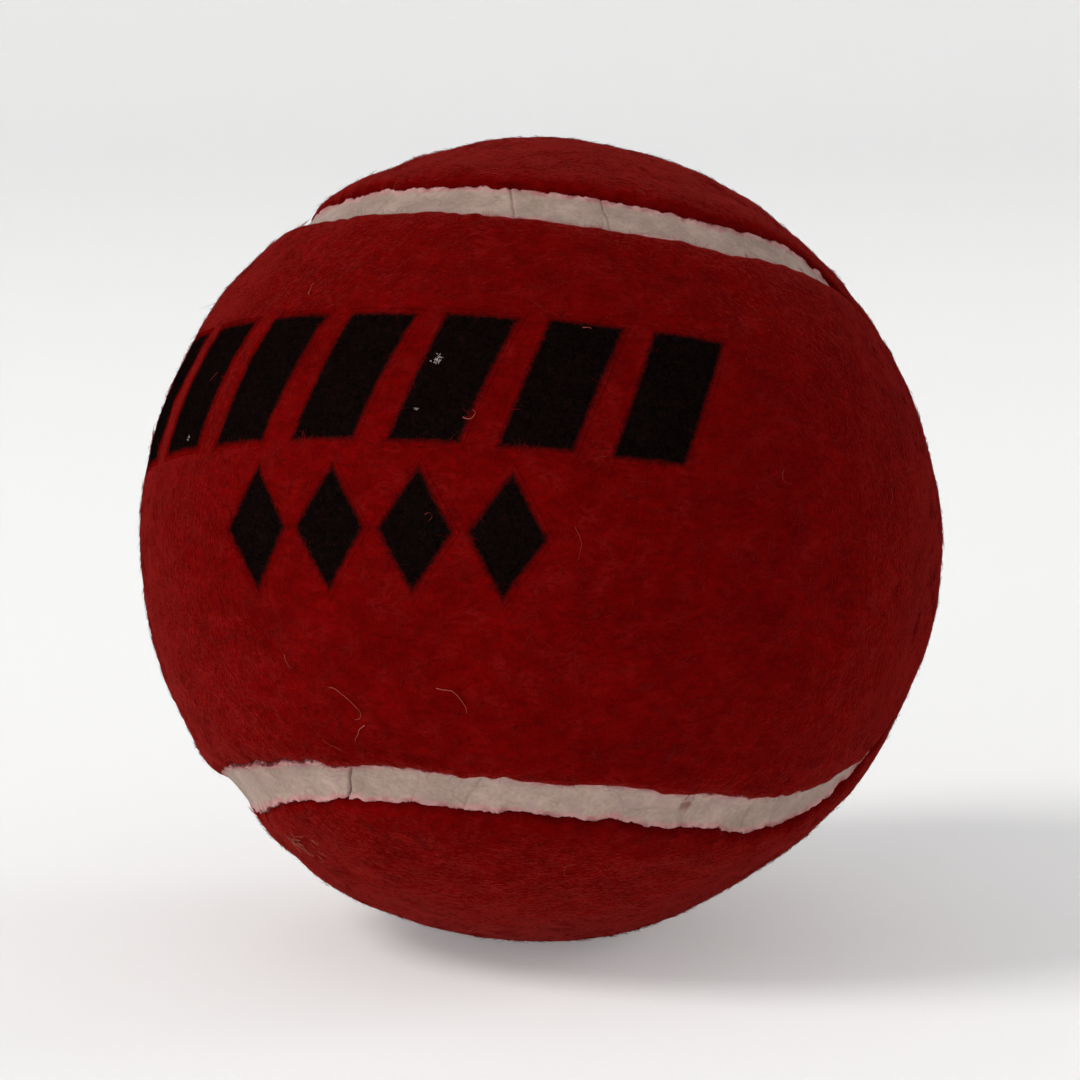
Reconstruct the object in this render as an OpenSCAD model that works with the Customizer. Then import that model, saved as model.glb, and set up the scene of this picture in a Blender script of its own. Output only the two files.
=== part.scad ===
// Felt-covered ball for soft-ball cricket, built from the inside out:
// two moulded rubber half-shells, the bond between them, a coat of rubber cement,
// two interlocking cloth covers (backing and nap), the rubber seam strip that
// fills the gap between the covers, and a plain print on one cover.
//
// Millimetres. The origin is the centre of the ball and +Z is up.

/* [Ball] */
// Diameter over the nap of the felt
ball_d = 65.5; // [62:0.5:70]
// Wall thickness of the rubber core
core_wall = 5.5; // [3.5:0.5:8]
// Thickness of the bond between the two core halves
bond_gap = 0.3; // [0.2:0.1:0.6]
// Thickness of the rubber cement on the core
cement_t = 0.3; // [0.2:0.1:0.5]

/* [Covers] */
// Thickness of the woven backing of a cover
backing_t = 0.8; // [0.5:0.1:1.2]
// Thickness of the napped wool of a cover
nap_t = 2.4; // [1.6:0.1:3]
// Radius of the nap where it rolls over into the seam
shoulder_r = 1.0; // [0.6:0.1:1.4]

/* [Seam] */
// Width of the gap between the covers
seam_w = 3.5; // [2:0.1:5]
// Depth of the strip's top below the nap
seam_drop = 0.8; // [0.5:0.1:1.2]

/* [Print] */
// Number of slanted bars in the upper row
bar_count = 7; // [3:1:7]
// Number of diamonds in the lower row
diamond_count = 4; // [2:1:4]
// Depth of the ink in the nap
ink_t = 0.3; // [0.2:0.1:0.5]

/* [How the ball lies] */
// Turn about the upright axis, in degrees
turn = -46; // [-90:1:90]
// Roll towards the back, in degrees
roll_back = -15; // [-30:1:30]
// Roll to the side, in degrees
roll_side = -8; // [-30:1:30]

/* [Hidden] */

$fn = 120;

// Radii of the layers, from the outside in.
nap_r = ball_d / 2;
backing_r = nap_r - nap_t;
cement_r = backing_r - backing_t;
core_r = cement_r - cement_t;
hollow_r = core_r - core_wall;
strip_r = nap_r - seam_drop;

// Everything that only cuts reaches past the ball.
far = 2 * ball_d;

// The seam is four half circles. Each goes round one lobe, 45 degrees from the lobe's axis,
// and it touches the next one in the plane of the four lobe axes.
lobe_half = 45;

// A point of the seam's cross-section in that plane, between two neighbouring lobe axes.
// t runs outwards along the middle of the seam and s from there towards the lobe's axis.
// The result is [distance from the lobe's axis, distance along it].
function beside_seam(t, s) = [
    t * sin(lobe_half) - s * cos(lobe_half),
    t * cos(lobe_half) + s * sin(lobe_half)
];

// The edge of a cover: straight beside the strip, then rolled over into the nap.
// side is 1 seen from the cover's own lobe and -1 seen from the other cover's lobe.
shoulder_s = seam_w / 2 + shoulder_r;
shoulder_t = sqrt(pow(nap_r - shoulder_r, 2) - pow(shoulder_s, 2));
function cover_edge(side) = concat(
    [beside_seam(hollow_r, side * seam_w / 2)],
    [for (a = [0 : 15 : 75])
        beside_seam(
            shoulder_t + shoulder_r * sin(a),
            side * (shoulder_s - shoulder_r * cos(a))
        )
    ],
    [beside_seam(shoulder_t + 2 * shoulder_r, side * (shoulder_s + shoulder_r))]
);

// The cross-section between a lobe's axis and an edge, open outwards.
module lobe_section(edge) {
    out = edge[len(edge) - 1];
    polygon(concat(
        [[0, edge[0][1]]],
        edge,
        [[out[0], far], [0, far]]
    ));
}

// Turns a section half a turn round the far end of the lobe at +X.
module round_lobe_end() {
    rotate([0, 90, 0])
        rotate([0, 0, -90])
            rotate_extrude(angle = 180) children();
}

// The same thing on both lobes of a cover.
module both_lobes() {
    children();
    mirror([1, 0, 0]) children();
}

// Carries something from the first cover to the same place on the second.
module on_second_cover() {
    rotate([180, 0, 90]) children();
}

// A spherical layer between two radii.
module layer(r_in, r_out) {
    difference() {
        sphere(r = r_out);
        sphere(r = r_in);
    }
}

// The first cover's share of a layer: a waist at +Z and two lobes that reach past the equator at +X and -X.
module cover_layer(r_in, r_out) {
    intersection() {
        layer(r_in, r_out);
        union() {
            difference() {
                translate([-far, -far, 0]) cube([2 * far, 2 * far, far]);
                on_second_cover()
                    both_lobes()
                        round_lobe_end() lobe_section(cover_edge(-1));
            }
            both_lobes()
                round_lobe_end() lobe_section(cover_edge(1));
        }
    }
}

// The seam's frame has the first cover's waist at +Z. In the ball's frame it faces the front
// and one of its lobes points right, and the ball is then rolled as it lies.
module in_ball_frame() {
    rotate([roll_back, roll_side, turn])
        rotate([90, 0, 0])
            children();
}

// ---- Core ----

module core_half() {
    difference() {
        layer(hollow_r, core_r);
        translate([-far, -far, bond_gap / 2 - 2 * far]) cube(2 * far);
    }
}

module core_half_front() {
    color("dimgray") in_ball_frame() core_half();
}

module core_half_back() {
    color("gray") in_ball_frame() mirror([0, 0, 1]) core_half();
}

module core_bond() {
    color("orange") in_ball_frame()
        intersection() {
            layer(hollow_r, core_r);
            cube([far, far, bond_gap], center = true);
        }
}

module cement_coat() {
    color("khaki") in_ball_frame() layer(core_r, cement_r);
}

// ---- Covers ----

module backing_a() {
    color("wheat") in_ball_frame() cover_layer(cement_r, backing_r);
}

module backing_b() {
    color("tan") in_ball_frame() on_second_cover() cover_layer(cement_r, backing_r);
}

module felt_cover_a() {
    color("darkred")
        difference() {
            in_ball_frame() cover_layer(backing_r, nap_r);
            in_ball_frame() ink_layer() bar_row();
            in_ball_frame() ink_layer() diamond_row();
        }
}

module felt_cover_b() {
    color("firebrick") in_ball_frame() on_second_cover() cover_layer(backing_r, nap_r);
}

// ---- Seam ----

// Four arcs of a flat-sided band, cut to the height of the strip.
module seam_strip() {
    section = [
        beside_seam(hollow_r, seam_w / 2),
        beside_seam(nap_r + shoulder_r, seam_w / 2),
        beside_seam(nap_r + shoulder_r, -seam_w / 2),
        beside_seam(hollow_r, -seam_w / 2)
    ];
    color("white") in_ball_frame()
        intersection() {
            layer(cement_r, strip_r);
            union() {
                both_lobes() round_lobe_end() polygon(section);
                on_second_cover() both_lobes() round_lobe_end() polygon(section);
            }
        }
}

// ---- Print ----

bar_w = 5.6;
bar_h = 10.5;
bar_slant = 3;
bar_pitch = 15;
bar_row_at = [18, 13];

diamond_w = 6;
diamond_h = 9.5;
diamond_pitch = 12.5;
diamond_row_at = [24, -8];

// A row of shapes along the first cover, its middle at [angle from the waist, angle above the lobe axes].
module print_row(count, pitch, at) {
    for (i = [0 : count - 1]) {
        rotate([0, at[0] + (i - (count - 1) / 2) * pitch, 0])
            rotate([-at[1], 0, 0])
                linear_extrude(height = far) children();
    }
}

module bar_row() {
    print_row(bar_count, bar_pitch, bar_row_at)
        polygon([
            [-bar_w / 2 - bar_slant / 2, -bar_h / 2],
            [bar_w / 2 - bar_slant / 2, -bar_h / 2],
            [bar_w / 2 + bar_slant / 2, bar_h / 2],
            [-bar_w / 2 + bar_slant / 2, bar_h / 2]
        ]);
}

module diamond_row() {
    print_row(diamond_count, diamond_pitch, diamond_row_at)
        polygon([
            [-diamond_w / 2, 0],
            [0, -diamond_h / 2],
            [diamond_w / 2, 0],
            [0, diamond_h / 2]
        ]);
}

// The part of a row of shapes that lies in the tips of the nap.
module ink_layer() {
    intersection() {
        layer(nap_r - ink_t, nap_r);
        children();
    }
}

module printed_bars() {
    color("black") in_ball_frame() ink_layer() bar_row();
}

module printed_diamonds() {
    color("black") in_ball_frame() ink_layer() diamond_row();
}

core_half_front();
core_half_back();
core_bond();
cement_coat();
backing_a();
backing_b();
felt_cover_a();
felt_cover_b();
seam_strip();
printed_bars();
printed_diamonds();
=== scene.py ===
"""A felt-covered ball for soft-ball cricket: two napped covers, a cracked rubber seam and a plain print.

Metres, in the part's own frame: the ball's centre is the origin, +Z is up and the viewer is at -Y.
Shapes are worked out in the seam's own frame, where the first cover's waist is at +Z, its lobes are at
+X and -X, and the second cover's lobes are at +Y and -Y. Lengths there are in millimetres.
Throughout, d is directions from the centre, u is the place round the seam from 0 to 1, s is the
distance in from a cover's cut edge, and cover 0 is the first cover and 1 the second.
"""

import math

import bpy
import numpy as np
from mathutils import Euler, Matrix, Vector


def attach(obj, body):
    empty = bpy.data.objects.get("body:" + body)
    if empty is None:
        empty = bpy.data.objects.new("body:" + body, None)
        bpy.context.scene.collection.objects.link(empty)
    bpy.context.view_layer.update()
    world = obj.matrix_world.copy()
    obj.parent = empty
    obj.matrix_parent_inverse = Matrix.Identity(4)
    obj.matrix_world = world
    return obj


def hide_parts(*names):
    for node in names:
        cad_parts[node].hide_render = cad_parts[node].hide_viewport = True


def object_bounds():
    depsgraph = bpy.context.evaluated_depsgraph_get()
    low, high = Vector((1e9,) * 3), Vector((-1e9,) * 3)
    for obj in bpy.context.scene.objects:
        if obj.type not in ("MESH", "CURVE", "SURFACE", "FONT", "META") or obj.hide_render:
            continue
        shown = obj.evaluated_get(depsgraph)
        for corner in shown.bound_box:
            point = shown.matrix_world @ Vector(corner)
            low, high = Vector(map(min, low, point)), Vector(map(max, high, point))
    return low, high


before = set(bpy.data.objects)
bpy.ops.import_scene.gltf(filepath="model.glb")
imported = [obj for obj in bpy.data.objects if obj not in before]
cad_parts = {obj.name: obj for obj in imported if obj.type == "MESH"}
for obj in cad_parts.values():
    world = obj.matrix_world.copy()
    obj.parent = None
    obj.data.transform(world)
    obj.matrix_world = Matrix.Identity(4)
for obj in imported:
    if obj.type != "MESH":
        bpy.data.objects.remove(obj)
cad_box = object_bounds()

MM = 0.001
BALL_R = max(cad_box[1]) / MM
SEAM_L = 2 * math.pi * BALL_R * math.sqrt(2)

# How the ball lies: turned about its upright axis, then rolled back and to the side.
LIE = Euler([math.radians(a) for a in (-15, -8, -46)]).to_matrix() @ Matrix.Rotation(math.pi / 2, 3, "X")
TO_ROW = np.array(LIE)

# ---- Sizes, in millimetres ----

NAP_T = 2.4
BACKING_T = 0.8
SEAM_W = 3.5
SEAM_DROP = 0.8
# The nap rolls over along a cover's edge, so far in from it and so far down.
SHOULDER_W = 1.2
SHOULDER_H = 0.75
# Behind its shoulder the nap stands so much prouder, in a ridge this far in and this broad.
EDGE_SWELL = 0.16
EDGE_SWELL_AT = 2.4
EDGE_SWELL_REACH = 1.6

# How far the hand-laid seam strays from its half circles towards the second cover,
# as (waves round the whole seam, cosine part, sine part).
SEAM_WANDER = ((1, -0.18, 0.07), (2, 0, -0.18), (3, 0, 0.11), (4, -0.3, 0), (5, 0, -0.25))

# Places where a cover was cut short or long: (place round the seam, reach along it,
# extra gap on the first cover's side, extra gap on the second cover's side).
CUT_FAULTS = (
    (0.383, 5, 0.3, 0.4),
    (0.34, 6, 0, -0.2),
    (0.31, 20, 0.9, 0.3),
    (0.2695, 1.6, 0.45, 0),
    (0.267, 10, -0.1, -0.55),
    (0.213, 5, -1.55, -1.1),
    (0.192, 7, -0.6, -0.45),
    (0.838, 6, 0, 1),
    (0.878, 7, 0.3, -0.25),
    (0.8905, 1.2, -0.4, 0),
    (0.929, 2.2, -0.1, 0.4),
    (0.939, 6, -0.35, 0.05),
    (0.953, 3.5, -0.1, 0.3),
    (0.97, 2, 0, -0.35),
    (0.982, 3, -0.35, 0.4),
    (0.006, 4, 0.3, -0.15),
    (0.023, 5, 0.2, 0.35),
    (0.043, 4, -0.2, 0),
    (0.066, 5, -0.85, -0.6),
    (0.087, 6, -0.4, -0.3),
    (0.73, 9, -0.2, 0.3),
    (0.55, 7, 0.3, -0.15),
)

# Hollows and swells of the worn nap, as (degrees round the outline from the right, reach, height).
WEAR = (
    (18, 5, -0.17),
    (39, 9, -0.5),
    (92, 5, 0.23),
    (132, 3, -0.3),
    (142, 4, 0.15),
    (153, 5, -0.19),
    (220, 7, -0.15),
    (226, 4, -0.52),
    (238, 8, 0.42),
    (302, 7, -0.55),
    (332, 6, -0.3),
    (347, 5, 0.21),
)

# The outline is the one seen from this far above level and this many ball radii away.
VIEW_ABOVE = math.radians(8)
VIEW_RADII = 10


# ---- Noise ----

# The noise's grid is turned, so that it never lines up with the seam, and moved well clear of zero.
NOISE_TURN = np.array(Euler((0.6, 1.1, 2.3)).to_matrix())
NOISE_START = 400
NOISE_SEED_STEP = 31.7
# Large odd numbers that scatter the cells' own numbers well.
SCATTER = np.array([374761393, 668265263, 2246822519], np.uint32)
SCATTER_AGAIN = np.uint32(1274126177)


def cell_value(cell, seed):
    """A random value from -1 to 1 for each cell of the noise's grid."""
    at = cell * SCATTER
    h = at[:, 0] ^ at[:, 1] ^ at[:, 2] ^ np.uint32(seed * 977 + 13)
    h = (h ^ (h >> np.uint32(13))) * SCATTER_AGAIN
    h = h ^ (h >> np.uint32(16))
    return (h & np.uint32(0xFFFF)) / (0xFFFF / 2) - 1


def noise(points, size, seed=0):
    """Smooth random values from -1 to 1 at the points, with features about size across."""
    q = points @ NOISE_TURN.T / size + NOISE_SEED_STEP * seed + NOISE_START
    cell = np.floor(q).astype(np.uint32)
    f = q - cell
    f = f * f * (3 - 2 * f)
    total = np.zeros(len(points))
    for corner in range(8):
        step = np.array([corner & 1, corner >> 1 & 1, corner >> 2], np.uint32)
        weight = np.prod(np.where(step, f, 1 - f), axis=1)
        total += weight * cell_value(cell + step, seed)
    return total


# ---- The seam's line ----

X, Y, Z = np.eye(3)
# The four arcs in order round the seam: the lobe's axis, its far end, and the way the arc runs.
ARCS = ((X, -Z, Y), (Y, Z, -X), (-X, -Z, -Y), (-Y, Z, X))


def wander(u):
    """How far the seam strays towards the second cover."""
    turn = 2 * np.pi * u
    return sum(cosine * np.cos(n * turn) + sine * np.sin(n * turn) for n, cosine, sine in SEAM_WANDER)


def round_seam(u, size, seed):
    """Noise along the seam that joins up with itself, with features about size long."""
    turn = 2 * np.pi * u
    ring = SEAM_L / (2 * math.pi)
    return noise(np.stack([np.cos(turn), np.sin(turn), 0 * turn], 1) * ring, size, seed)


def along_seam(u, place):
    """Distance along the seam from a place on it."""
    return ((u - place + 0.5) % 1 - 0.5) * SEAM_L


def half_gap(u, cover):
    """Half the width of the gap, from the seam's middle to a cover's ragged cut edge."""
    gap = SEAM_W / 2 + 0.1 * round_seam(u, 9, 20 + cover)
    gap += 0.2 * round_seam(u, 2.2, 30 + cover) + 0.24 * round_seam(u, 0.8, 40 + cover)
    for place, reach, *extra in CUT_FAULTS:
        gap += extra[cover] * np.exp(-((along_seam(u, place) / reach) ** 2))
    return gap


def seam_place(d):
    """How far each direction is from the seam's middle, and the nearest place on it.

    The distance is positive on the first cover.
    """
    below = d[:, 2] < 0
    which = np.where(below, np.where(d[:, 0] > 0, 0, 2), np.where(d[:, 1] > 0, 1, 3))
    axis, far, across = (np.array([arc[i] for arc in ARCS])[which] for i in range(3))
    angle = np.arccos(np.clip((d * axis).sum(1), -1, 1))
    t = np.arctan2((d * across).sum(1), (d * far).sum(1))
    u = (which + t / np.pi + 0.5) / 4
    sign = np.where(below, 1, -1)
    return sign * (math.pi / 4 - angle) * BALL_R + wander(u), u


# ---- The surface of the felt ----


def shoulder_drop(s):
    """How far the nap has rolled down."""
    t = np.clip(1 - s / SHOULDER_W, 0, 1)
    return SHOULDER_H * (1 - np.sqrt(1 - t * t))


def outline_place(degrees):
    """The point of the ball's outline in the view, so many degrees anticlockwise from the right."""
    a = math.radians(degrees)
    towards_view = np.array([0, -math.cos(VIEW_ABOVE), math.sin(VIEW_ABOVE)])
    upwards = np.array([0, math.sin(VIEW_ABOVE), math.cos(VIEW_ABOVE)])
    round_it = math.cos(a) * X + math.sin(a) * upwards
    nearer = 1 / VIEW_RADII
    return BALL_R * (math.sqrt(1 - nearer**2) * round_it + nearer * towards_view) @ TO_ROW


def nap_relief(points, s):
    """Height of the nap over the plain ball: swollen along the seam, out of round, worn and matted."""
    ridge = EDGE_SWELL * np.exp(-(((s - EDGE_SWELL_AT) / EDGE_SWELL_REACH) ** 2))
    swell = ridge * (1 + 0.7 * noise(points, 7, 3))
    round_off = 0.1 * noise(points, 19, 1) + 0.06 * noise(points, 8, 2)
    for degrees, reach, height in WEAR:
        away = np.linalg.norm(points - outline_place(degrees), axis=1)
        round_off += height * np.exp(-((away / reach) ** 2))
    clumps = 0.08 * noise(points, 3.6, 4) + 0.07 * noise(points, 1.9, 5)
    matting = 0.035 * noise(points, 1.0, 6)
    return swell + round_off + clumps + matting


def nap_surface(directions):
    """Points on top of the nap in the given directions."""
    distance, u = seam_place(directions)
    cover = np.where(distance > 0, 0, 1)
    gap = np.where(cover == 0, half_gap(u, 0), half_gap(u, 1))
    s = np.abs(distance) - gap
    r = BALL_R - shoulder_drop(s) + nap_relief(directions * BALL_R, s)
    return directions * r[:, None]


# ---- Mesh building ----


def mesh_object(name, points, triangles, **attributes):
    """A Blender object from points in the seam's frame in millimetres, triangles, and values per point."""
    mesh = bpy.data.meshes.new(name)
    mesh.vertices.add(len(points))
    mesh.vertices.foreach_set("co", (points @ TO_ROW.T * MM).astype(np.float32).ravel())
    mesh.loops.add(triangles.size)
    mesh.loops.foreach_set("vertex_index", triangles.astype(np.int32).ravel())
    mesh.polygons.add(len(triangles))
    mesh.polygons.foreach_set("loop_start", np.arange(0, triangles.size, 3, dtype=np.int32))
    mesh.polygons.foreach_set("use_smooth", np.full(len(triangles), True))
    for attribute, values in attributes.items():
        layer = mesh.attributes.new(attribute, "FLOAT", "POINT")
        layer.data.foreach_set("value", values.astype(np.float32))
    mesh.update(calc_edges=True)
    mesh.validate()
    o = bpy.data.objects.new(name, mesh)
    bpy.context.scene.collection.objects.link(o)
    return o


def grid_triangles(rows, columns, closed=False):
    """Triangles of a grid of points, row by row; closed joins the last column to the first."""
    r, c = np.meshgrid(np.arange(rows - 1), np.arange(columns - (not closed)), indexing="ij")
    a, b = r * columns + c, r * columns + (c + 1) % columns
    quads = np.stack([a, b, b + columns, a + columns], -1).reshape(-1, 4)
    return np.concatenate([quads[:, [0, 1, 2]], quads[:, [0, 2, 3]]])


def joined(sheets):
    """One mesh from sheets of (plain points, final points, distances in from the edge, triangles).

    Plain points that coincide become one.
    """
    plain, final, s = (np.concatenate([sheet[i] for sheet in sheets]) for i in range(3))
    starts = np.cumsum([0] + [len(sheet[0]) for sheet in sheets])
    triangles = np.concatenate([sheet[3] + start for sheet, start in zip(sheets, starts)])
    _, first, same = np.unique(np.round(plain, 4), axis=0, return_index=True, return_inverse=True)
    a, b, c = same.reshape(-1)[triangles].T
    solid = (a != b) & (b != c) & (c != a)
    return final[first], s[first], np.stack([a, b, c], 1)[solid]


def facing(points, triangles, outwards):
    """The triangles, turned so that most of them face away from the centre, or towards it."""
    a, b, c = (points[triangles[:, i]] for i in range(3))
    out = (np.cross(b - a, c - a) * a).sum() > 0
    return triangles if out == outwards else triangles[:, ::-1]


# ---- Covers ----

# How many points a cover has along each arc of the seam, and how many rows of them up its cut wall,
# over its rolled shoulder, on to its middle line (fewer on the smooth backing cloth) and underneath.
COLUMNS = 300
WALL_ROWS = 5
ROLL_ROWS = 9
NAP_ROWS = 60
CLOTH_ROWS = 30
INSIDE_ROWS = 5
# How much closer together the rows are near the edge.
ROW_CROWDING = 0.25
# How far in from a cover's cut edge the nap is painted darker, as painted shade along the edge.
EDGE_SHADE_REACH = 0.7


def cover_sheets(cover, rows, radii, relief, outwards):
    """Sheets of one side of a cover, one for each arc of the seam, facing outwards or inwards.

    rows are pairs (distance in from the edge, share of the rest of the way to the cover's middle line).
    radii are the rows' distances from the centre before relief is added.
    """
    sheets = []
    for k, (axis, far, across) in enumerate(ARCS):
        own_lobe = k % 2 == cover
        t = np.linspace(-math.pi / 2, math.pi / 2, COLUMNS + 1)
        u = (k + t / math.pi + 0.5) / 4
        side = 1 if k % 2 == 0 else -1
        middle = math.pi / 4 * BALL_R + side * wander(u)
        edge = middle - half_gap(u, cover) if own_lobe else middle + half_gap(u, cover)
        end = 0 if own_lobe else math.pi / 2 * BALL_R
        inwards = -1 if own_lobe else 1
        length = np.abs(end - edge)
        s = np.array([near + share * (length - near) for near, share in rows])
        rho = (edge + inwards * s) / BALL_R
        d = (
            np.cos(rho)[..., None] * axis
            + (np.sin(rho) * np.cos(t))[..., None] * far
            + (np.sin(rho) * np.sin(t))[..., None] * across
        ).reshape(-1, 3)
        r = np.repeat(np.array(radii)[:, None], COLUMNS + 1, 1).reshape(-1)
        plain = d * r[:, None]
        s = s.reshape(-1)
        final = d * (r + relief(d, s, r))[:, None]
        triangles = facing(plain, grid_triangles(len(rows), COLUMNS + 1), outwards)
        sheets.append((plain, final, s, triangles))
    return sheets


def cover_mesh(name, cover, r_in, r_out, rolled):
    """A cover as a closed shell between two radii; rolled gives it the nap's shoulder and relief."""
    wall_top = r_out - (SHOULDER_H if rolled else 0)
    rows = [(0, 0)] * WALL_ROWS
    radii = list(np.linspace(r_in, wall_top, WALL_ROWS))
    if rolled:
        for a in np.radians(np.linspace(0, 90, ROLL_ROWS + 1)[1:]):
            rows.append((SHOULDER_W * (1 - math.cos(a)), 0))
            radii.append(wall_top + SHOULDER_H * math.sin(a))
    start = rows[-1][0]
    for x in np.linspace(0, 1, (NAP_ROWS if rolled else CLOTH_ROWS) + 1)[1:]:
        rows.append((start, (1 - ROW_CROWDING) * x + ROW_CROWDING * x * x))
        radii.append(r_out)
    inner_rows = [(0, x) for x in np.linspace(0, 1, INSIDE_ROWS)]

    def relief(d, s, r):
        if not rolled:
            return 0.04 * noise(d * BALL_R, 1.2, 9)
        rise = np.clip((r - wall_top) / SHOULDER_H, 0, 1)
        return rise * nap_relief(d * BALL_R, s)

    outer = cover_sheets(cover, rows, radii, relief, True)
    inner = cover_sheets(cover, inner_rows, [r_in] * len(inner_rows), lambda d, s, r: 0 * r, False)
    points, s, triangles = joined(outer + inner)
    # near_edge is 1 at the cut edge and falls to 0 further in; the felt's material uses it to paint shade
    # along the edge.
    return mesh_object(name, points, triangles, near_edge=np.clip(1 - s / EDGE_SHADE_REACH, 0, 1))


nap_in = BALL_R - NAP_T
felt_a = cover_mesh("felt_a", 0, nap_in, BALL_R, True)
felt_b = cover_mesh("felt_b", 1, nap_in, BALL_R, True)
cloth_a = cover_mesh("backing_cloth_a", 0, nap_in - BACKING_T, nap_in, False)
cloth_b = cover_mesh("backing_cloth_b", 1, nap_in - BACKING_T, nap_in, False)


# ---- Seam strip ----

STRIP_COLUMNS = 2700
STRIP_ROWS = 31
# How far the strip reaches under the nap's cut edges, and the least it reaches from the seam's middle.
STRIP_TUCK = 0.15
STRIP_LEAST_REACH = 0.2
STRIP_HALF_W = SEAM_W / 2 + STRIP_TUCK
CRACK_HALF_W = 0.08
# Cracks right across the strip: (place round the seam, lean along it, depth).
CRACKS = (
    (0.8925, -1.0, 0.4),
    (0.913, -0.7, 0.09),
    (0.9285, -1.0, 0.13),
    (0.99, 0.3, 0.1),
    (0.012, 0.5, 0.09),
    (0.368, 0.1, 0.1),
    (0.326, 0.8, 0.13),
    (0.3, 0.5, 0.12),
    (0.135, 0.4, 0.35),
    (0.2, -0.9, 0.15),
    (0.44, 0.6, 0.3),
    (0.52, 0.5, 0.15),
    (0.66, -0.4, 0.35),
    (0.77, 0.9, 0.2),
)
# Pits left by grit: (place round the seam, share of the way from its middle to an edge, radius, depth).
GRIT = ((0.9885, -0.08, 0.48, 0.22), (0.62, 0.4, 0.3, 0.2), (0.16, -0.2, 0.35, 0.2))
# Where the rubber lies higher or lower than usual: (place round the seam, reach, height).
SWELLS = ((0.862, 7, 0.5), (0.208, 4, -0.4), (0.45, 9, 0.2), (0.7, 8, 0.25))


def seam_frame(u):
    """Directions of the seam's middle at u, and unit vectors across it towards the second cover."""
    k = np.minimum((u * 4).astype(int), 3)
    t = (u * 4 - k - 0.5) * math.pi
    axis, far, across = (np.array([arc[i] for arc in ARCS])[k] for i in range(3))
    radial = np.cos(t)[:, None] * far + np.sin(t)[:, None] * across
    side = np.where(k % 2 == 0, 1, -1)[:, None]
    rho = math.pi / 4 + side * wander(u)[:, None] / BALL_R
    middle = np.cos(rho) * axis + np.sin(rho) * radial
    outwards = side * (np.cos(rho) * radial - np.sin(rho) * axis)
    return middle, outwards


def crack_depth(points, u, share):
    """How deep the cracks and the grit's pits are at each point."""
    depth = np.zeros(len(u))
    for place, lean, full_depth in CRACKS:
        line = along_seam(u, place) - lean * share - 0.2 * noise(points, 1.1, 60)
        depth += full_depth * np.exp(-((line / CRACK_HALF_W) ** 2))
    for place, grit_share, radius, full_depth in GRIT:
        away = np.hypot(along_seam(u, place), (share - grit_share) * SEAM_W / 2) / radius
        depth += full_depth * np.exp(-((away * (1 + 0.3 * noise(points, 0.4, 61))) ** 4))
    return depth


def strip_height(points, u, share):
    """Radius of the strip's top before it cracked, share from -1 at the first cover to 1 at the second."""
    swell = sum(height * np.exp(-((along_seam(u, place) / reach) ** 2)) for place, reach, height in SWELLS)
    climb = 0.4 * share**4 * (1 + 0.5 * noise(points, 1.1, 52))
    ragged = 0.03 * noise(points, 0.9, 54) + 0.04 * noise(points, 0.35, 55)
    crevice = 0.4 * np.clip((abs(share) - 0.92 + ragged) / 0.05, 0, 1)
    wrinkles = 0.05 * np.abs(noise(points, 1.8, 56)) + 0.03 * np.abs(noise(points, 0.9, 51))
    uneven = 0.07 * noise(points, 4, 50) - wrinkles
    pits = 0.15 * np.clip(noise(points, 0.9, 53) - 0.6, 0, 1) / 0.4
    return BALL_R - SEAM_DROP + swell + climb + uneven - pits - crevice


def strip_mesh(name):
    """The strip as a closed ring: a pitted, cracked top that climbs at both edges, on plain sides."""
    u = np.arange(STRIP_COLUMNS) / STRIP_COLUMNS
    middle, across = seam_frame(u)
    reach_a, reach_b = (np.maximum(half_gap(u, cover) + STRIP_TUCK, STRIP_LEAST_REACH) for cover in (0, 1))
    foot = np.full(len(u), nap_in - BACKING_T)
    top_shares = np.sin(np.linspace(-1, 1, STRIP_ROWS) * math.pi / 2)
    shares = np.array([-1, *top_shares, 1])
    rows, near_edge, cracked = [], [], []
    for i, share in enumerate(shares):
        reach = reach_a if share < 0 else reach_b
        offset = share * reach / BALL_R
        d = middle * np.cos(offset)[:, None] + across * np.sin(offset)[:, None]
        crack = crack_depth(d * BALL_R, u, share)
        at_foot = i in (0, len(shares) - 1)
        r = foot if at_foot else strip_height(d * BALL_R, u, share) - crack
        rows.append(d * r[:, None])
        near_edge.append(1 - (1 - abs(share)) * np.minimum(reach / STRIP_HALF_W, 1))
        cracked.append(crack)
    points = np.concatenate(rows)
    first = np.arange(len(u))
    after = np.roll(first, -1)
    last = first + (len(rows) - 1) * len(u)
    last_after = np.roll(last, -1)
    bottom = [np.stack([last, last_after, after], 1), np.stack([last, after, first], 1)]
    triangles = np.concatenate([grid_triangles(len(rows), len(u), closed=True), *bottom])
    return mesh_object(
        name,
        points,
        facing(points, triangles, True),
        near_edge=np.concatenate(near_edge),
        crack=np.concatenate(cracked),
    )


strip = strip_mesh("seam_rubber")


# ---- Print ----

# Each row of the print: its shapes' sizes, how far apart they are in degrees round the ball, and the
# row's middle in degrees round and up from the middle of the first cover.
# slant is how far a bar leans over its whole height.
BAR = {"w": 5.6, "h": 10.5, "slant": 3.0, "pitch": 15.0, "at": (18, 13), "count": 7}
DIAMOND = {"w": 6.0, "h": 9.5, "pitch": 12.5, "at": (24, -8), "count": 4}
# How far it is from a diamond's middle straight to one of its sides.
DIAMOND_REACH = DIAMOND["w"] * DIAMOND["h"] / 2 / math.hypot(DIAMOND["w"], DIAMOND["h"])
# The ink's layer reaches this far over the nap's surface and this far into it.
INK_LIFT = 0.02
INK_DEPTH = 0.2
# Half the width over which the ink fades out into the nap.
INK_FADE = 0.45


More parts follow.
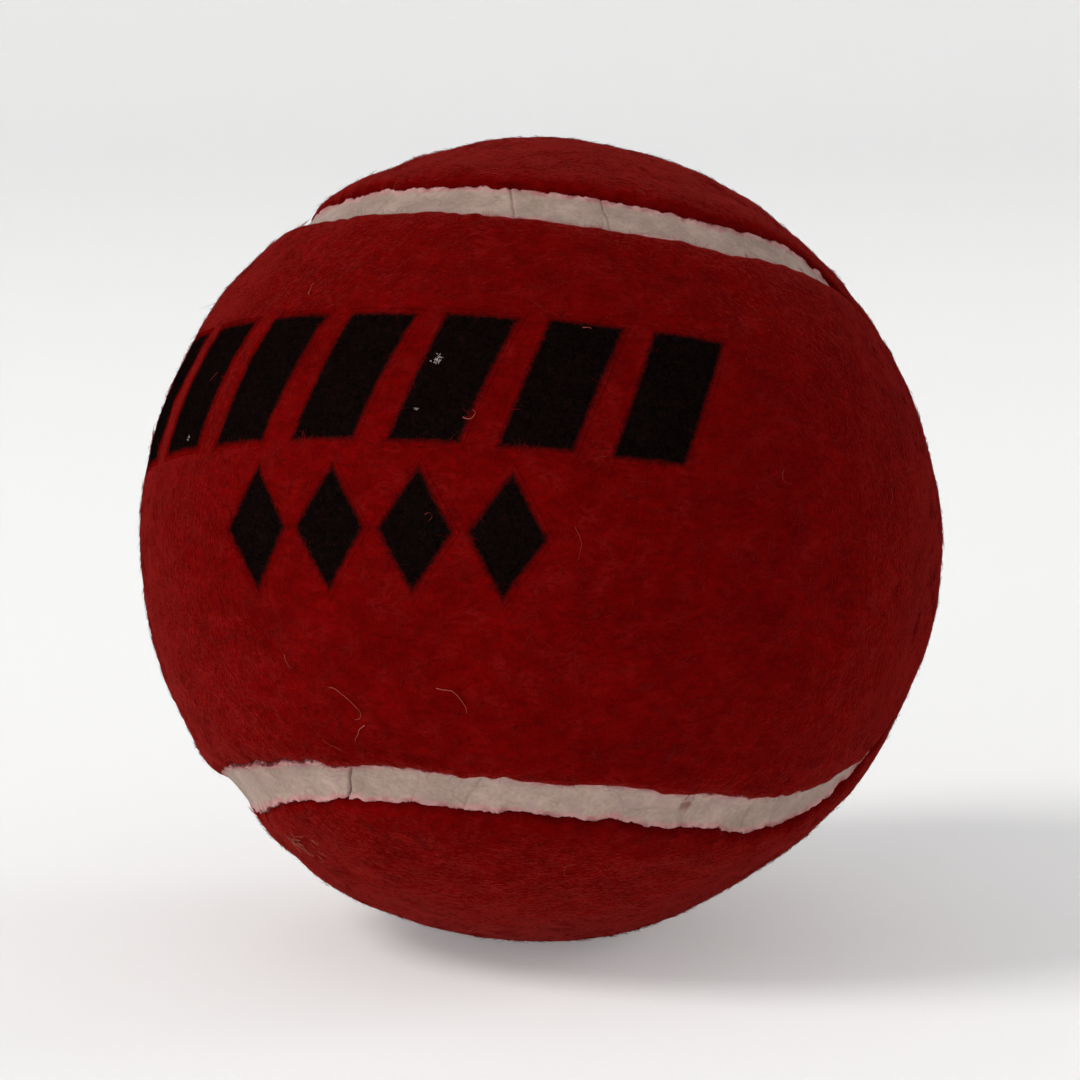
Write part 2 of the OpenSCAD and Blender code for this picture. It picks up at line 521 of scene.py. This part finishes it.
def print_axes(shape, i):
    """The unit vectors (out, right, up) of the i-th shape of a row, on the first cover."""
    along = math.radians(shape["at"][0] + (i - (shape["count"] - 1) / 2) * shape["pitch"])
    above = math.radians(shape["at"][1])
    turn = Matrix.Rotation(along, 3, "Y") @ Matrix.Rotation(-above, 3, "X")
    return [np.array(turn @ Vector(v)) for v in ((0, 0, 1), (1, 0, 0), (0, 1, 0))]


def bar_outline(a, b, extra):
    """A point of a bar grown by extra; a and b run from -1 to 1 across it and up it."""
    x = a * (BAR["w"] / 2 + extra)
    y = b * (BAR["h"] / 2 + extra)
    return x + y * BAR["slant"] / BAR["h"], y


def beyond_bar(x, y):
    """How far a point lies outside a bar; negative inside it."""
    return np.maximum(np.abs(x - y * BAR["slant"] / BAR["h"]) - BAR["w"] / 2, np.abs(y) - BAR["h"] / 2)


def diamond_outline(a, b, extra):
    """A point of a diamond grown by extra; a and b run from -1 to 1 along its sides."""
    grown = 1 + extra / DIAMOND_REACH
    return grown * (a - b) * DIAMOND["w"] / 4, grown * (a + b) * DIAMOND["h"] / 4


def beyond_diamond(x, y):
    """How far a point lies outside a diamond; negative inside it."""
    return ((np.abs(x) / DIAMOND["w"] + np.abs(y) / DIAMOND["h"]) * 2 - 1) * DIAMOND_REACH


def ink_patch(axes, outline, beyond, across, along):
    """One printed shape as a thin closed layer in the tips of the nap, and how deep in it each point is."""
    out, right, up = axes
    a, b = (v.ravel() for v in np.meshgrid(np.linspace(-1, 1, across), np.linspace(-1, 1, along)))
    x, y = outline(a, b, INK_FADE)
    p = x[:, None] * right + y[:, None] * up + np.sqrt(BALL_R**2 - x * x - y * y)[:, None] * out
    d = p / BALL_R
    top = nap_surface(d)
    points = np.concatenate([top - d * INK_DEPTH, top + d * INK_LIFT])
    n = across * along
    rim = np.concatenate([
        np.arange(across),
        np.arange(1, along) * across + across - 1,
        n - 2 - np.arange(across - 1),
        np.arange(along - 2, 0, -1) * across,
    ])
    after = np.roll(rim, -1)
    sheet = grid_triangles(along, across)
    walls = np.concatenate([np.stack([rim, after, after + n], 1), np.stack([rim, after + n, rim + n], 1)])
    triangles = facing(points, np.concatenate([sheet[:, ::-1], sheet + n, walls]), True)
    return points, triangles, np.tile(INK_FADE - beyond(x, y), 2)


def ink_row(name, shape, outline, beyond, across, along):
    """A row of printed shapes as one piece."""
    count = shape["count"]
    patches = [ink_patch(print_axes(shape, i), outline, beyond, across, along) for i in range(count)]
    points, triangles, depths = zip(*patches)
    triangles = [t + i * 2 * across * along for i, t in enumerate(triangles)]
    return mesh_object(
        name, np.concatenate(points), np.concatenate(triangles), ink_depth=np.concatenate(depths)
    )


ink_bars = ink_row("ink_bars", BAR, bar_outline, beyond_bar, 36, 64)
ink_diamonds = ink_row("ink_diamonds", DIAMOND, diamond_outline, beyond_diamond, 40, 40)


def inked(directions):
    """Whether each direction passes through the print, which has a ragged border."""
    ragged = 0.15 * noise(directions * BALL_R, 0.5, 70)
    found = np.zeros(len(directions), bool)
    for shape, beyond in ((BAR, beyond_bar), (DIAMOND, beyond_diamond)):
        for i in range(shape["count"]):
            out, right, up = print_axes(shape, i)
            inside = beyond(directions @ right * BALL_R, directions @ up * BALL_R) < ragged
            found |= inside & (directions @ out > 0)
    return found


# ---- Fibres ----

# No fibre is rooted nearer to a cover's cut edge than this.
BARE_EDGE = 0.45
# How far a fibre's root is sunk in the nap, and the share of its thickness that is gone at its tip.
ROOT_DEPTH = 0.05
TAPER = 0.7
# How far the fibres of a lock lie apart, across it and along it.
LOCK_ACROSS = 0.12
LOCK_ALONG = 0.6


def unit(v):
    """The vectors at length 1."""
    return v / np.maximum(np.linalg.norm(v, axis=1), 1e-6)[:, None]


def along_surface(v, directions):
    """Unit vectors like v but lying along the surface."""
    return unit(v - (v * directions).sum(1)[:, None] * directions)


def lie_of_nap(directions):
    """The way the nap lies at each place, which turns slowly from place to place."""
    p = directions * BALL_R
    return along_surface(np.stack([noise(p, 7, 80 + i) for i in range(3)], 1), directions)


def fibres(name, rng, roots, heading, length, thick, rise, curl, steps, bend=0, kink=1.6):
    """Tapered, curling three-sided hairs with closed ends, starting just under the nap at each root.

    curl is how much they turn at random, kink how unevenly they do it, and bend how much they hook
    round towards their tips.
    """
    d = unit(roots)
    point = roots - d * ROOT_DEPTH
    direction = heading * np.cos(rise)[:, None] + d * np.sin(rise)[:, None]
    spin = rng.normal(0, curl, len(roots)) / steps
    # The steeper a hair starts, the more it falls back towards the nap.
    fall = (rng.normal(0, 0.25, len(roots)) - 1.3 * rise) / steps
    rings = []
    for i in range(steps + 1):
        a = along_surface(np.cross(direction, d), direction)
        b = np.cross(direction, a)
        for corner in range(3 if i < steps else 1):
            angle = 2 * math.pi * corner / 3
            across = math.cos(angle) * a + math.sin(angle) * b if i < steps else 0
            rings.append(point + (thick * (1 - TAPER * i / steps))[:, None] * across)
        point = point + direction * (length / steps)[:, None]
        sideways = unit(np.cross(d, direction))
        wriggle = rng.normal(0, kink * curl, len(roots)) / steps
        # These add up to about bend over all the steps.
        hook = 3 * bend * i * i / steps**3
        direction = unit(direction + sideways * (spin + wriggle + hook)[:, None] + d * fall[:, None])
    points = np.stack(rings, 1).reshape(-1, 3)
    # The triangles of one hair: its root, its sides and its tip.
    one = [[0, 2, 1]]
    for i in range(steps - 1):
        for corner in range(3):
            p, q = 3 * i + corner, 3 * i + (corner + 1) % 3
            one += [[p, q, q + 3], [p, q + 3, p + 3]]
    tip = 3 * steps
    one += [[tip - 3 + corner, tip - 3 + (corner + 1) % 3, tip] for corner in range(3)]
    starts = np.arange(len(roots))[:, None, None] * (tip + 1)
    return mesh_object(name, points, (np.array(one) + starts).reshape(-1, 3))


def nap_fibres(name, cover, seed, count, lock, thickest, on_ink=False):
    """Short fibres matted over a cover, on the print or off it, lying side by side in locks of so many."""
    rng = np.random.default_rng(seed)
    # Enough places all over the ball for count of them to be on the wanted part of the cover.
    tries = 40 if on_ink else 3
    middle = unit(rng.normal(size=(tries * count // lock, 3)))
    heading = along_surface(lie_of_nap(middle) + 1.6 * unit(rng.normal(size=middle.shape)), middle)
    d = np.repeat(middle, lock, axis=0)
    heading = np.repeat(heading, lock, axis=0)
    if lock > 1:
        beside = np.cross(d, heading) * rng.normal(0, LOCK_ACROSS, (len(d), 1))
        d = unit(d * BALL_R + beside + heading * rng.normal(0, LOCK_ALONG, (len(d), 1)))
    distance, u = seam_place(d)
    s = distance * (1 if cover == 0 else -1) - half_gap(u, cover)
    kept = np.flatnonzero((s > BARE_EDGE) & (inked(d) == on_ink))[:count]
    d = d[kept]
    n = len(d)
    rise = 0.5 * rng.uniform(0, 1, n) ** 2
    return fibres(
        name,
        rng,
        nap_surface(d),
        along_surface(heading[kept] + 0.3 * rng.normal(size=d.shape), d),
        length=rng.uniform(0.5, 1.5, n) * (1 - 0.6 * rise),
        thick=rng.uniform(0.55, 1, n) * thickest,
        rise=rise,
        curl=0.8,
        steps=3,
    )


# Loose hairs on the front: (degrees right, degrees up, heading, length, degrees it hooks round).
# The heading is in degrees anticlockwise from rightwards.
LOOSE_HAIRS = (
    (-30, -13, 2, 5.2, -440),
    (-25, -18, -152, 1.9, 30),
    (-14, -12, -6, 3.4, -20),
    (-37, -9, -60, 1.4, 60),
    (-46, 41, 150, 1.4, -120),
    (-11, 24, -20, 1.6, 120),
    (7, 37, 10, 1.2, 30),
)
# Tufts of hair on the front: (degrees right, degrees up, how many hairs, how far apart they are).
HAIR_TUFTS = ((-52, -42, 20, 0.4), (-47, -42, 8, 0.9))
# Specks of pale fluff, in the same terms.
LINT = ((-16, 32, 30, 0.17), (-18, 25, 5, 0.05), (-62, 18, 8, 0.08))
# How far over the nap's surface the hairs of each kind start.
LOOSE_HAIR_LIFT = 0.11
FAINT_HAIR_LIFT = 0.07
TUFT_LIFT = 0.1


def seen_at(right, up):
    """The direction from the centre to a place seen from the front, so many degrees right and up."""
    turn = Euler((math.radians(-up), 0, math.radians(right))).to_matrix()
    return np.array(turn @ Vector((0, -1, 0))) @ TO_ROW


def tuft(rng, right, up, count, apart):
    """Directions to a number of places close together."""
    return unit(seen_at(right, up) * BALL_R + rng.normal(0, apart, (count, 3)))


def seen_hairs(name, seed):
    """The pale loose hairs on the front."""
    rng = np.random.default_rng(seed)
    d = np.array([seen_at(right, up) for right, up, *_ in LOOSE_HAIRS])
    _, _, turned, length, hooked = np.array(LOOSE_HAIRS, float).T
    up = along_surface(Z @ TO_ROW + 0 * d, d)
    right = np.cross(up, d)
    turned = np.radians(turned)[:, None]
    n = len(d)
    return fibres(
        name,
        rng,
        nap_surface(d) + d * LOOSE_HAIR_LIFT,
        np.cos(turned) * right + np.sin(turned) * up,
        length=length,
        thick=rng.uniform(0.04, 0.06, n),
        rise=np.zeros(n),
        curl=0.4,
        steps=18,
        bend=np.radians(hooked),
        kink=10,
    )


def scattered_hairs(name, seed, count):
    """Faint hairs all over the ball."""
    rng = np.random.default_rng(seed)
    d = unit(rng.normal(size=(count, 3)))
    return fibres(
        name,
        rng,
        nap_surface(d) + d * FAINT_HAIR_LIFT,
        along_surface(rng.normal(size=d.shape), d),
        length=rng.uniform(1.0, 2.8, count),
        thick=rng.uniform(0.02, 0.034, count),
        rise=rng.uniform(0, 0.2, count),
        curl=1.5,
        steps=14,
    )


def tufts(name, seed, places, longest, thickest):
    """Small tangles of short hairs."""
    rng = np.random.default_rng(seed)
    d = np.concatenate([tuft(rng, *place) for place in places])
    n = len(d)
    return fibres(
        name,
        rng,
        nap_surface(d) + d * TUFT_LIFT,
        along_surface(rng.normal(size=d.shape), d),
        length=rng.uniform(0.35, 1, n) * longest,
        thick=rng.uniform(0.5, 1, n) * thickest,
        rise=rng.uniform(0, 0.4, n),
        curl=1.5,
        steps=5,
    )


# ---- Materials ----


def material(name):
    """A new material, its node tree and its surface shader."""
    m = bpy.data.materials.new(name)
    m.use_nodes = True
    tree = m.node_tree
    return m, tree, tree.nodes["Principled BSDF"]


def object_noise(tree, size, detail=2, roughness=0.5, distortion=0, flat=1):
    """A noise texture in the object's own space, with features about size millimetres across.

    They are lower than they are wide by the ratio flat.
    """
    place = tree.nodes.new("ShaderNodeTexCoord")
    squash = tree.nodes.new("ShaderNodeMapping")
    squash.inputs["Scale"].default_value = (1, 1, flat)
    tex = tree.nodes.new("ShaderNodeTexNoise")
    tex.inputs["Scale"].default_value = 1 / (size * MM)
    tex.inputs["Detail"].default_value = detail
    tex.inputs["Roughness"].default_value = roughness
    tex.inputs["Distortion"].default_value = distortion
    tree.links.new(place.outputs["Object"], squash.inputs["Vector"])
    tree.links.new(squash.outputs["Vector"], tex.inputs["Vector"])
    return tex.outputs["Fac"]


def ramp(tree, source, *stops):
    """A colour ramp; stops are (place, colour), where a single number is a grey."""
    node = tree.nodes.new("ShaderNodeValToRGB")
    while len(node.color_ramp.elements) < len(stops):
        node.color_ramp.elements.new(0.5)
    for element, (place, colour) in zip(node.color_ramp.elements, stops):
        element.position = place
        element.color = (*(colour if isinstance(colour, tuple) else (colour,) * 3), 1)
    tree.links.new(source, node.inputs["Fac"])
    return node.outputs["Color"]


def mix(tree, factor, a, b, blend="MIX"):
    """A mix of two colours or links; the factor is a number or a link."""
    node = tree.nodes.new("ShaderNodeMix")
    node.data_type = "RGBA"
    node.blend_type = blend
    for socket, value in ((node.inputs[0], factor), (node.inputs[6], a), (node.inputs[7], b)):
        if isinstance(value, bpy.types.NodeSocket):
            tree.links.new(value, socket)
        else:
            socket.default_value = (*value, 1) if isinstance(value, tuple) else value
    return node.outputs[2]


def attribute(tree, name):
    """The values that a mesh carries under a name."""
    node = tree.nodes.new("ShaderNodeAttribute")
    node.attribute_name = name
    return node.outputs["Color"]


def bump(tree, shader, height, strength, distance):
    """Fine relief on a shader, up to a distance in millimetres."""
    node = tree.nodes.new("ShaderNodeBump")
    node.inputs["Strength"].default_value = strength
    node.inputs["Distance"].default_value = distance * MM
    tree.links.new(height, node.inputs["Height"])
    tree.links.new(node.outputs["Normal"], shader.inputs["Normal"])


def soft(shader, roughness, specular, sheen, sheen_colour=(1, 0.12, 0.1)):
    """The surface settings of something fibrous or dull."""
    shader.inputs["Roughness"].default_value = roughness
    shader.inputs["Specular IOR Level"].default_value = specular
    shader.inputs["Sheen Weight"].default_value = sheen
    shader.inputs["Sheen Roughness"].default_value = 0.25
    shader.inputs["Sheen Tint"].default_value = (*sheen_colour, 1)


FELT_RED = (0.112, 0.0009, 0.0009)


def times(colour, k):
    """A colour made k times as bright."""
    return tuple(k * c for c in colour)


def felt_colour(tree):
    """Cloudy red with a few paler, broken, curling strands in it."""
    clouds = object_noise(tree, 5, 3, 0.6)
    wisps = object_noise(tree, 1.5, 3, 0.65, 0.8, flat=2.2)
    strands = object_noise(tree, 0.5, 3, 0.6, 2.5)
    colour = ramp(tree, clouds, (0.3, times(FELT_RED, 0.84)), (0.7, times(FELT_RED, 1.12)))
    colour = mix(tree, 1.0, colour, ramp(tree, wisps, (0.32, 0.8), (0.68, 1.22)), "MULTIPLY")
    colour = mix(tree, 1.0, colour, ramp(tree, strands, (0.3, 0.9), (0.7, 1.08)), "MULTIPLY")
    curls = ramp(tree, object_noise(tree, 1.6, 3, 0.6, 0.8, flat=1.8), (0.42, 0), (0.5, 1), (0.58, 0))
    broken = ramp(tree, object_noise(tree, 2.1, 1), (0.45, 0), (0.7, 0.5))
    return mix(tree, mix(tree, 1.0, curls, broken, "MULTIPLY"), colour, (0.17, 0.006, 0.006)), strands


def felt_material():
    """Red felt, with painted shade darkening it along the covers' cut edges."""
    m, tree, shader = material("red_felt")
    colour, strands = felt_colour(tree)
    # Painted shade: the nap gets darker towards its cut edges, where its rolled shoulder turns away from
    # the light.
    edge_shade = ramp(tree, attribute(tree, "near_edge"), (0.2, 0), (0.9, 0.5))
    tree.links.new(mix(tree, edge_shade, colour, times(FELT_RED, 0.45)), shader.inputs["Base Color"])
    soft(shader, 1.0, 0, 0.3)
    bump(tree, shader, strands, 0.8, 0.2)
    return m


def fibre_material(name, colour, sheen):
    """A single dull colour for hairs that are too thin to show any pattern."""
    m, tree, shader = material(name)
    shader.inputs["Base Color"].default_value = (*colour, 1)
    soft(shader, 0.9, 0, sheen)
    return m


def ink_material():
    """Worn black ink that breaks up at its borders and shows the felt beyond them."""
    m, tree, shader = material("print_ink")
    under, strands = felt_colour(tree)
    worn = ramp(tree, object_noise(tree, 1.1, 3, 0.7), (0.6, 0), (0.78, 0.4))
    black = ramp(tree, strands, (0.3, (0.0008, 0.0003, 0.0003)), (0.75, (0.007, 0.0034, 0.003)))
    black = mix(tree, worn, black, (0.022, 0.004, 0.004))
    ragged = mix(tree, 0.3, attribute(tree, "ink_depth"), object_noise(tree, 0.35, 3, 0.7), "LINEAR_LIGHT")
    colour = mix(tree, ramp(tree, ragged, (0.15, 0), (0.7, 1)), under, black)
    tree.links.new(colour, shader.inputs["Base Color"])
    soft(shader, 1.0, 0, 0)
    bump(tree, shader, strands, 0.7, 0.2)
    return m


def crack_lines(tree, size):
    """1 on thin wandering lines that cut the surface into plates about size millimetres across, else 0."""
    place = tree.nodes.new("ShaderNodeTexCoord")
    wobble = tree.nodes.new("ShaderNodeTexNoise")
    wobble.inputs["Scale"].default_value = 0.8 / (size * MM)
    wobble.inputs["Detail"].default_value = 3
    shift = tree.nodes.new("ShaderNodeVectorMath")
    shift.operation = "MULTIPLY_ADD"
    shift.inputs[1].default_value = (1.1 * size * MM,) * 3
    plates = tree.nodes.new("ShaderNodeTexVoronoi")
    plates.feature = "DISTANCE_TO_EDGE"
    plates.inputs["Scale"].default_value = 1 / (size * MM)
    tree.links.new(place.outputs["Object"], wobble.inputs["Vector"])
    tree.links.new(wobble.outputs["Color"], shift.inputs[0])
    tree.links.new(place.outputs["Object"], shift.inputs[2])
    tree.links.new(shift.outputs[0], plates.inputs["Vector"])
    return ramp(tree, plates.outputs["Distance"], (0.0, 1), (0.02, 0))


def strip_material():
    """Dull cloudy rubber with hair cracks, dyed pink by the felt near its edges, and dark red at them:
    partly the felt's stain and partly painted shade for the crevice under the felt.
    """
    m, tree, shader = material("seam_rubber")
    cloudy = object_noise(tree, 3, 3, 0.6)
    grain = object_noise(tree, 0.35, 2, 0.6)
    dark, middling, light = (0.26, 0.188, 0.152), (0.32, 0.232, 0.19), (0.39, 0.28, 0.236)
    base = ramp(tree, cloudy, (0.3, dark), (0.5, middling), (0.7, light))
    colour = mix(tree, 1.0, base, ramp(tree, grain, (0.35, 0.9), (0.65, 1.08)), "MULTIPLY")
    lilac = ramp(tree, object_noise(tree, 1.6, 2), (0.5, 0), (0.7, 0.45))
    colour = mix(tree, lilac, colour, (0.29, 0.18, 0.18))
    for size, darkest in ((4.4, 0.45), (2.3, 0.3)):
        patchy = ramp(tree, object_noise(tree, 0.8 * size, 2), (0.44, 0), (0.6, darkest))
        colour = mix(tree, mix(tree, patchy, (0, 0, 0), crack_lines(tree, size)), colour, (0.2, 0.11, 0.1))
    cracked = ramp(tree, attribute(tree, "crack"), (0.03, 0), (0.3, 0.95))
    colour = mix(tree, cracked, colour, (0.14, 0.04, 0.042))
    ragged = mix(tree, 0.25, attribute(tree, "near_edge"), object_noise(tree, 0.6, 3, 0.7), "LINEAR_LIGHT")
    dye = ramp(tree, object_noise(tree, 1.1, 2), (0.4, (0.3, 0.1, 0.105)), (0.6, (0.46, 0.22, 0.215)))
    colour = mix(tree, ramp(tree, ragged, (0.66, 0), (0.84, 0.85)), colour, dye)
    # Dark red at the very edges: partly the felt's stain and partly painted shade in the crevice under the
    # felt's edge.
    colour = mix(tree, ramp(tree, ragged, (0.9, 0), (0.97, 0.95)), colour, (0.1, 0.005, 0.007))
    tree.links.new(colour, shader.inputs["Base Color"])
    soft(shader, 0.75, 0.2, 0)
    bump(tree, shader, grain, 0.5, 0.06)
    return m


def grained_material(name, dark, light, size):
    """Dull rubber or cement with a grain about size millimetres across."""
    m, tree, shader = material(name)
    grain = object_noise(tree, size, 3, 0.6)
    tree.links.new(ramp(tree, grain, (0.35, dark), (0.65, light)), shader.inputs["Base Color"])
    shader.inputs["Roughness"].default_value = 0.8
    bump(tree, shader, grain, 0.4, 0.1)
    return m


def woven_material():
    """Plain-woven backing cloth, stained by the felt."""
    m, tree, shader = material("backing_cloth")
    place = tree.nodes.new("ShaderNodeTexCoord")
    heights = []
    for direction in ("X", "Z"):
        threads = tree.nodes.new("ShaderNodeTexWave")
        threads.bands_direction = direction
        threads.inputs["Scale"].default_value = 500
        threads.inputs["Distortion"].default_value = 0.4
        tree.links.new(place.outputs["Object"], threads.inputs["Vector"])
        heights.append(threads.outputs["Fac"])
    weave = mix(tree, 0.5, *heights)
    colour = ramp(tree, weave, (0.2, (0.16, 0.03, 0.025)), (0.8, (0.42, 0.2, 0.16)))
    tree.links.new(colour, shader.inputs["Base Color"])
    soft(shader, 0.95, 0.1, 0)
    bump(tree, shader, weave, 0.6, 0.2)
    return m


# ---- Pieces: what each one stands for, its slot and its material ----


def piece(o, m, stands_for=None):
    """Gives an object its material and slot, and hides the CAD node that it stands for."""
    o.data.materials.clear()
    o.data.materials.append(m)
    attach(o, "root")
    if stands_for:
        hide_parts(stands_for)


felt = felt_material()
woven = woven_material()
ink = ink_material()
piece(felt_a, felt, "felt_cover_a")
piece(felt_b, felt, "felt_cover_b")
piece(cloth_a, woven, "backing_a")
piece(cloth_b, woven, "backing_b")
piece(strip, strip_material(), "seam_strip")
piece(ink_bars, ink, "printed_bars")
piece(ink_diamonds, ink, "printed_diamonds")

# The nap is made of single fibres, small locks and large paler locks, as many fibres of each kind. The
# small and large locks are lighter copies of the felt's red, a painted highlight for fibres that catch the
# light.
NAP_COUNT = 12000
INKED_COUNT = 6000
SCATTERED_COUNT = 45
for shade, colour, lock, thickest in (
    ("deep", times(FELT_RED, 1.05), 1, 0.02),
    # Painted highlight: the bright and pale locks are the felt's red made lighter.
    ("bright", times(FELT_RED, 1.3), 6, 0.022),
    ("pale", (0.175, 0.006, 0.006), 24, 0.026),
):
    m = fibre_material("fibre_" + shade, colour, 0.1)
    for cover, letter in enumerate("ab"):
        hairs = nap_fibres(f"nap_{letter}_{shade}", cover, 10 * lock + cover, NAP_COUNT, lock, thickest)
        piece(hairs, m)
dark_fibre = fibre_material("fibre_inked", (0.0035, 0.0022, 0.002), 0)
piece(nap_fibres("nap_inked", 0, 7, INKED_COUNT, 4, 0.022, on_ink=True), dark_fibre)
pale_fibre = fibre_material("fibre_loose", (0.3, 0.062, 0.045), 0.1)
piece(seen_hairs("loose_hairs", 11), pale_fibre)
piece(tufts("hair_tufts", 12, HAIR_TUFTS, 1.8, 0.055), pale_fibre)
faint_fibre = fibre_material("fibre_scattered", (0.21, 0.03, 0.022), 0.1)
piece(scattered_hairs("scattered_hairs", 13, SCATTERED_COUNT), faint_fibre)
lint = fibre_material("fibre_lint", (0.45, 0.38, 0.36), 0)
piece(tufts("lint_specks", 14, LINT, 0.3, 0.04), lint)

core_rubber = grained_material("core_rubber", (0.012, 0.012, 0.012), (0.03, 0.03, 0.03), 1.1)
for node, m in (
    ("core_half_front", core_rubber),
    ("core_half_back", core_rubber),
    ("core_bond", grained_material("bond_rubber", (0.06, 0.04, 0.02), (0.12, 0.08, 0.04), 0.7)),
    ("cement_coat", grained_material("cement", (0.22, 0.17, 0.1), (0.34, 0.27, 0.17), 2.5)),
):
    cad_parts[node].data.materials.clear()
    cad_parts[node].data.materials.append(m)


# ---- Stage, light and camera ----


def stage():
    """A round pale floor that curves up into a low wall all round."""
    floor_r, curve_r, wall_h = 1.5, 1.0, 1.4
    profile = [(0.0, 0.0), (floor_r / 2, 0.0)]
    for a in np.radians(np.linspace(0, 90, 13)):
        profile.append((floor_r + curve_r * math.sin(a), curve_r * (1 - math.cos(a))))
    profile.append((floor_r + curve_r, wall_h))
    sides = 96
    turns = np.linspace(0, 2 * math.pi, sides + 1)[:-1]
    points = [(r * math.cos(t), r * math.sin(t), cad_box[0][2] + z) for r, z in profile for t in turns]
    faces = [
        (i * sides + j, i * sides + (j + 1) % sides, (i + 1) * sides + (j + 1) % sides, (i + 1) * sides + j)
        for i in range(len(profile) - 1)
        for j in range(sides)
    ]
    mesh = bpy.data.meshes.new("floor")
    mesh.from_pydata(points, [], faces)
    mesh.polygons.foreach_set("use_smooth", [True] * len(faces))
    o = bpy.data.objects.new("floor", mesh)
    bpy.context.scene.collection.objects.link(o)
    m, tree, shader = material("floor")
    shader.inputs["Base Color"].default_value = (0.88, 0.88, 0.88, 1)
    shader.inputs["Roughness"].default_value = 0.9
    shader.inputs["Emission Color"].default_value = (1, 1, 1, 1)
    shader.inputs["Emission Strength"].default_value = 0.19
    o.data.materials.append(m)


def area_light(name, place, size, power, colour=(1, 1, 1)):
    """A round soft light that faces the ball."""
    light = bpy.data.lights.new(name, "AREA")
    light.shape = "DISK"
    light.size = size
    light.energy = power
    light.color = colour
    o = bpy.data.objects.new(name, light)
    o.location = place
    o.rotation_euler = (-Vector(place)).to_track_quat("-Z", "Y").to_euler()
    o.visible_camera = False
    bpy.context.scene.collection.objects.link(o)


def camera():
    """A little above level, with the ball's outline over three quarters of the width of the picture."""
    distance = VIEW_RADII * BALL_R * MM
    outline_share = 0.7415
    data = bpy.data.cameras.new("camera")
    half_angle = math.asin(BALL_R * MM / distance)
    data.sensor_width = 36
    data.lens = data.sensor_width * outline_share / 2 / math.tan(half_angle)
    data.clip_start = 0.01
    o = bpy.data.objects.new("camera", data)
    o.location = (0, -distance * math.cos(VIEW_ABOVE), distance * math.sin(VIEW_ABOVE))
    o.rotation_euler = (math.pi / 2 - VIEW_ABOVE, 0, 0)
    bpy.context.scene.collection.objects.link(o)
    bpy.context.scene.camera = o


def world_light(strength):
    """Even white light from all round."""
    world = bpy.data.worlds.new("studio")
    world.use_nodes = True
    background = world.node_tree.nodes["Background"]
    background.inputs["Color"].default_value = (1, 1, 1, 1)
    background.inputs["Strength"].default_value = strength
    bpy.context.scene.world = world


stage()
area_light("key", (-1.4, -0.6, 1.3), 0.8, 20, (1, 0.98, 0.96))
area_light("low_front", (-0.8, -1.4, 0.08), 0.5, 9)
area_light("rim", (1.4, 0.5, 0.5), 0.6, 4)
world_light(0.36)
bpy.context.scene.view_settings.view_transform = "Standard"
camera()
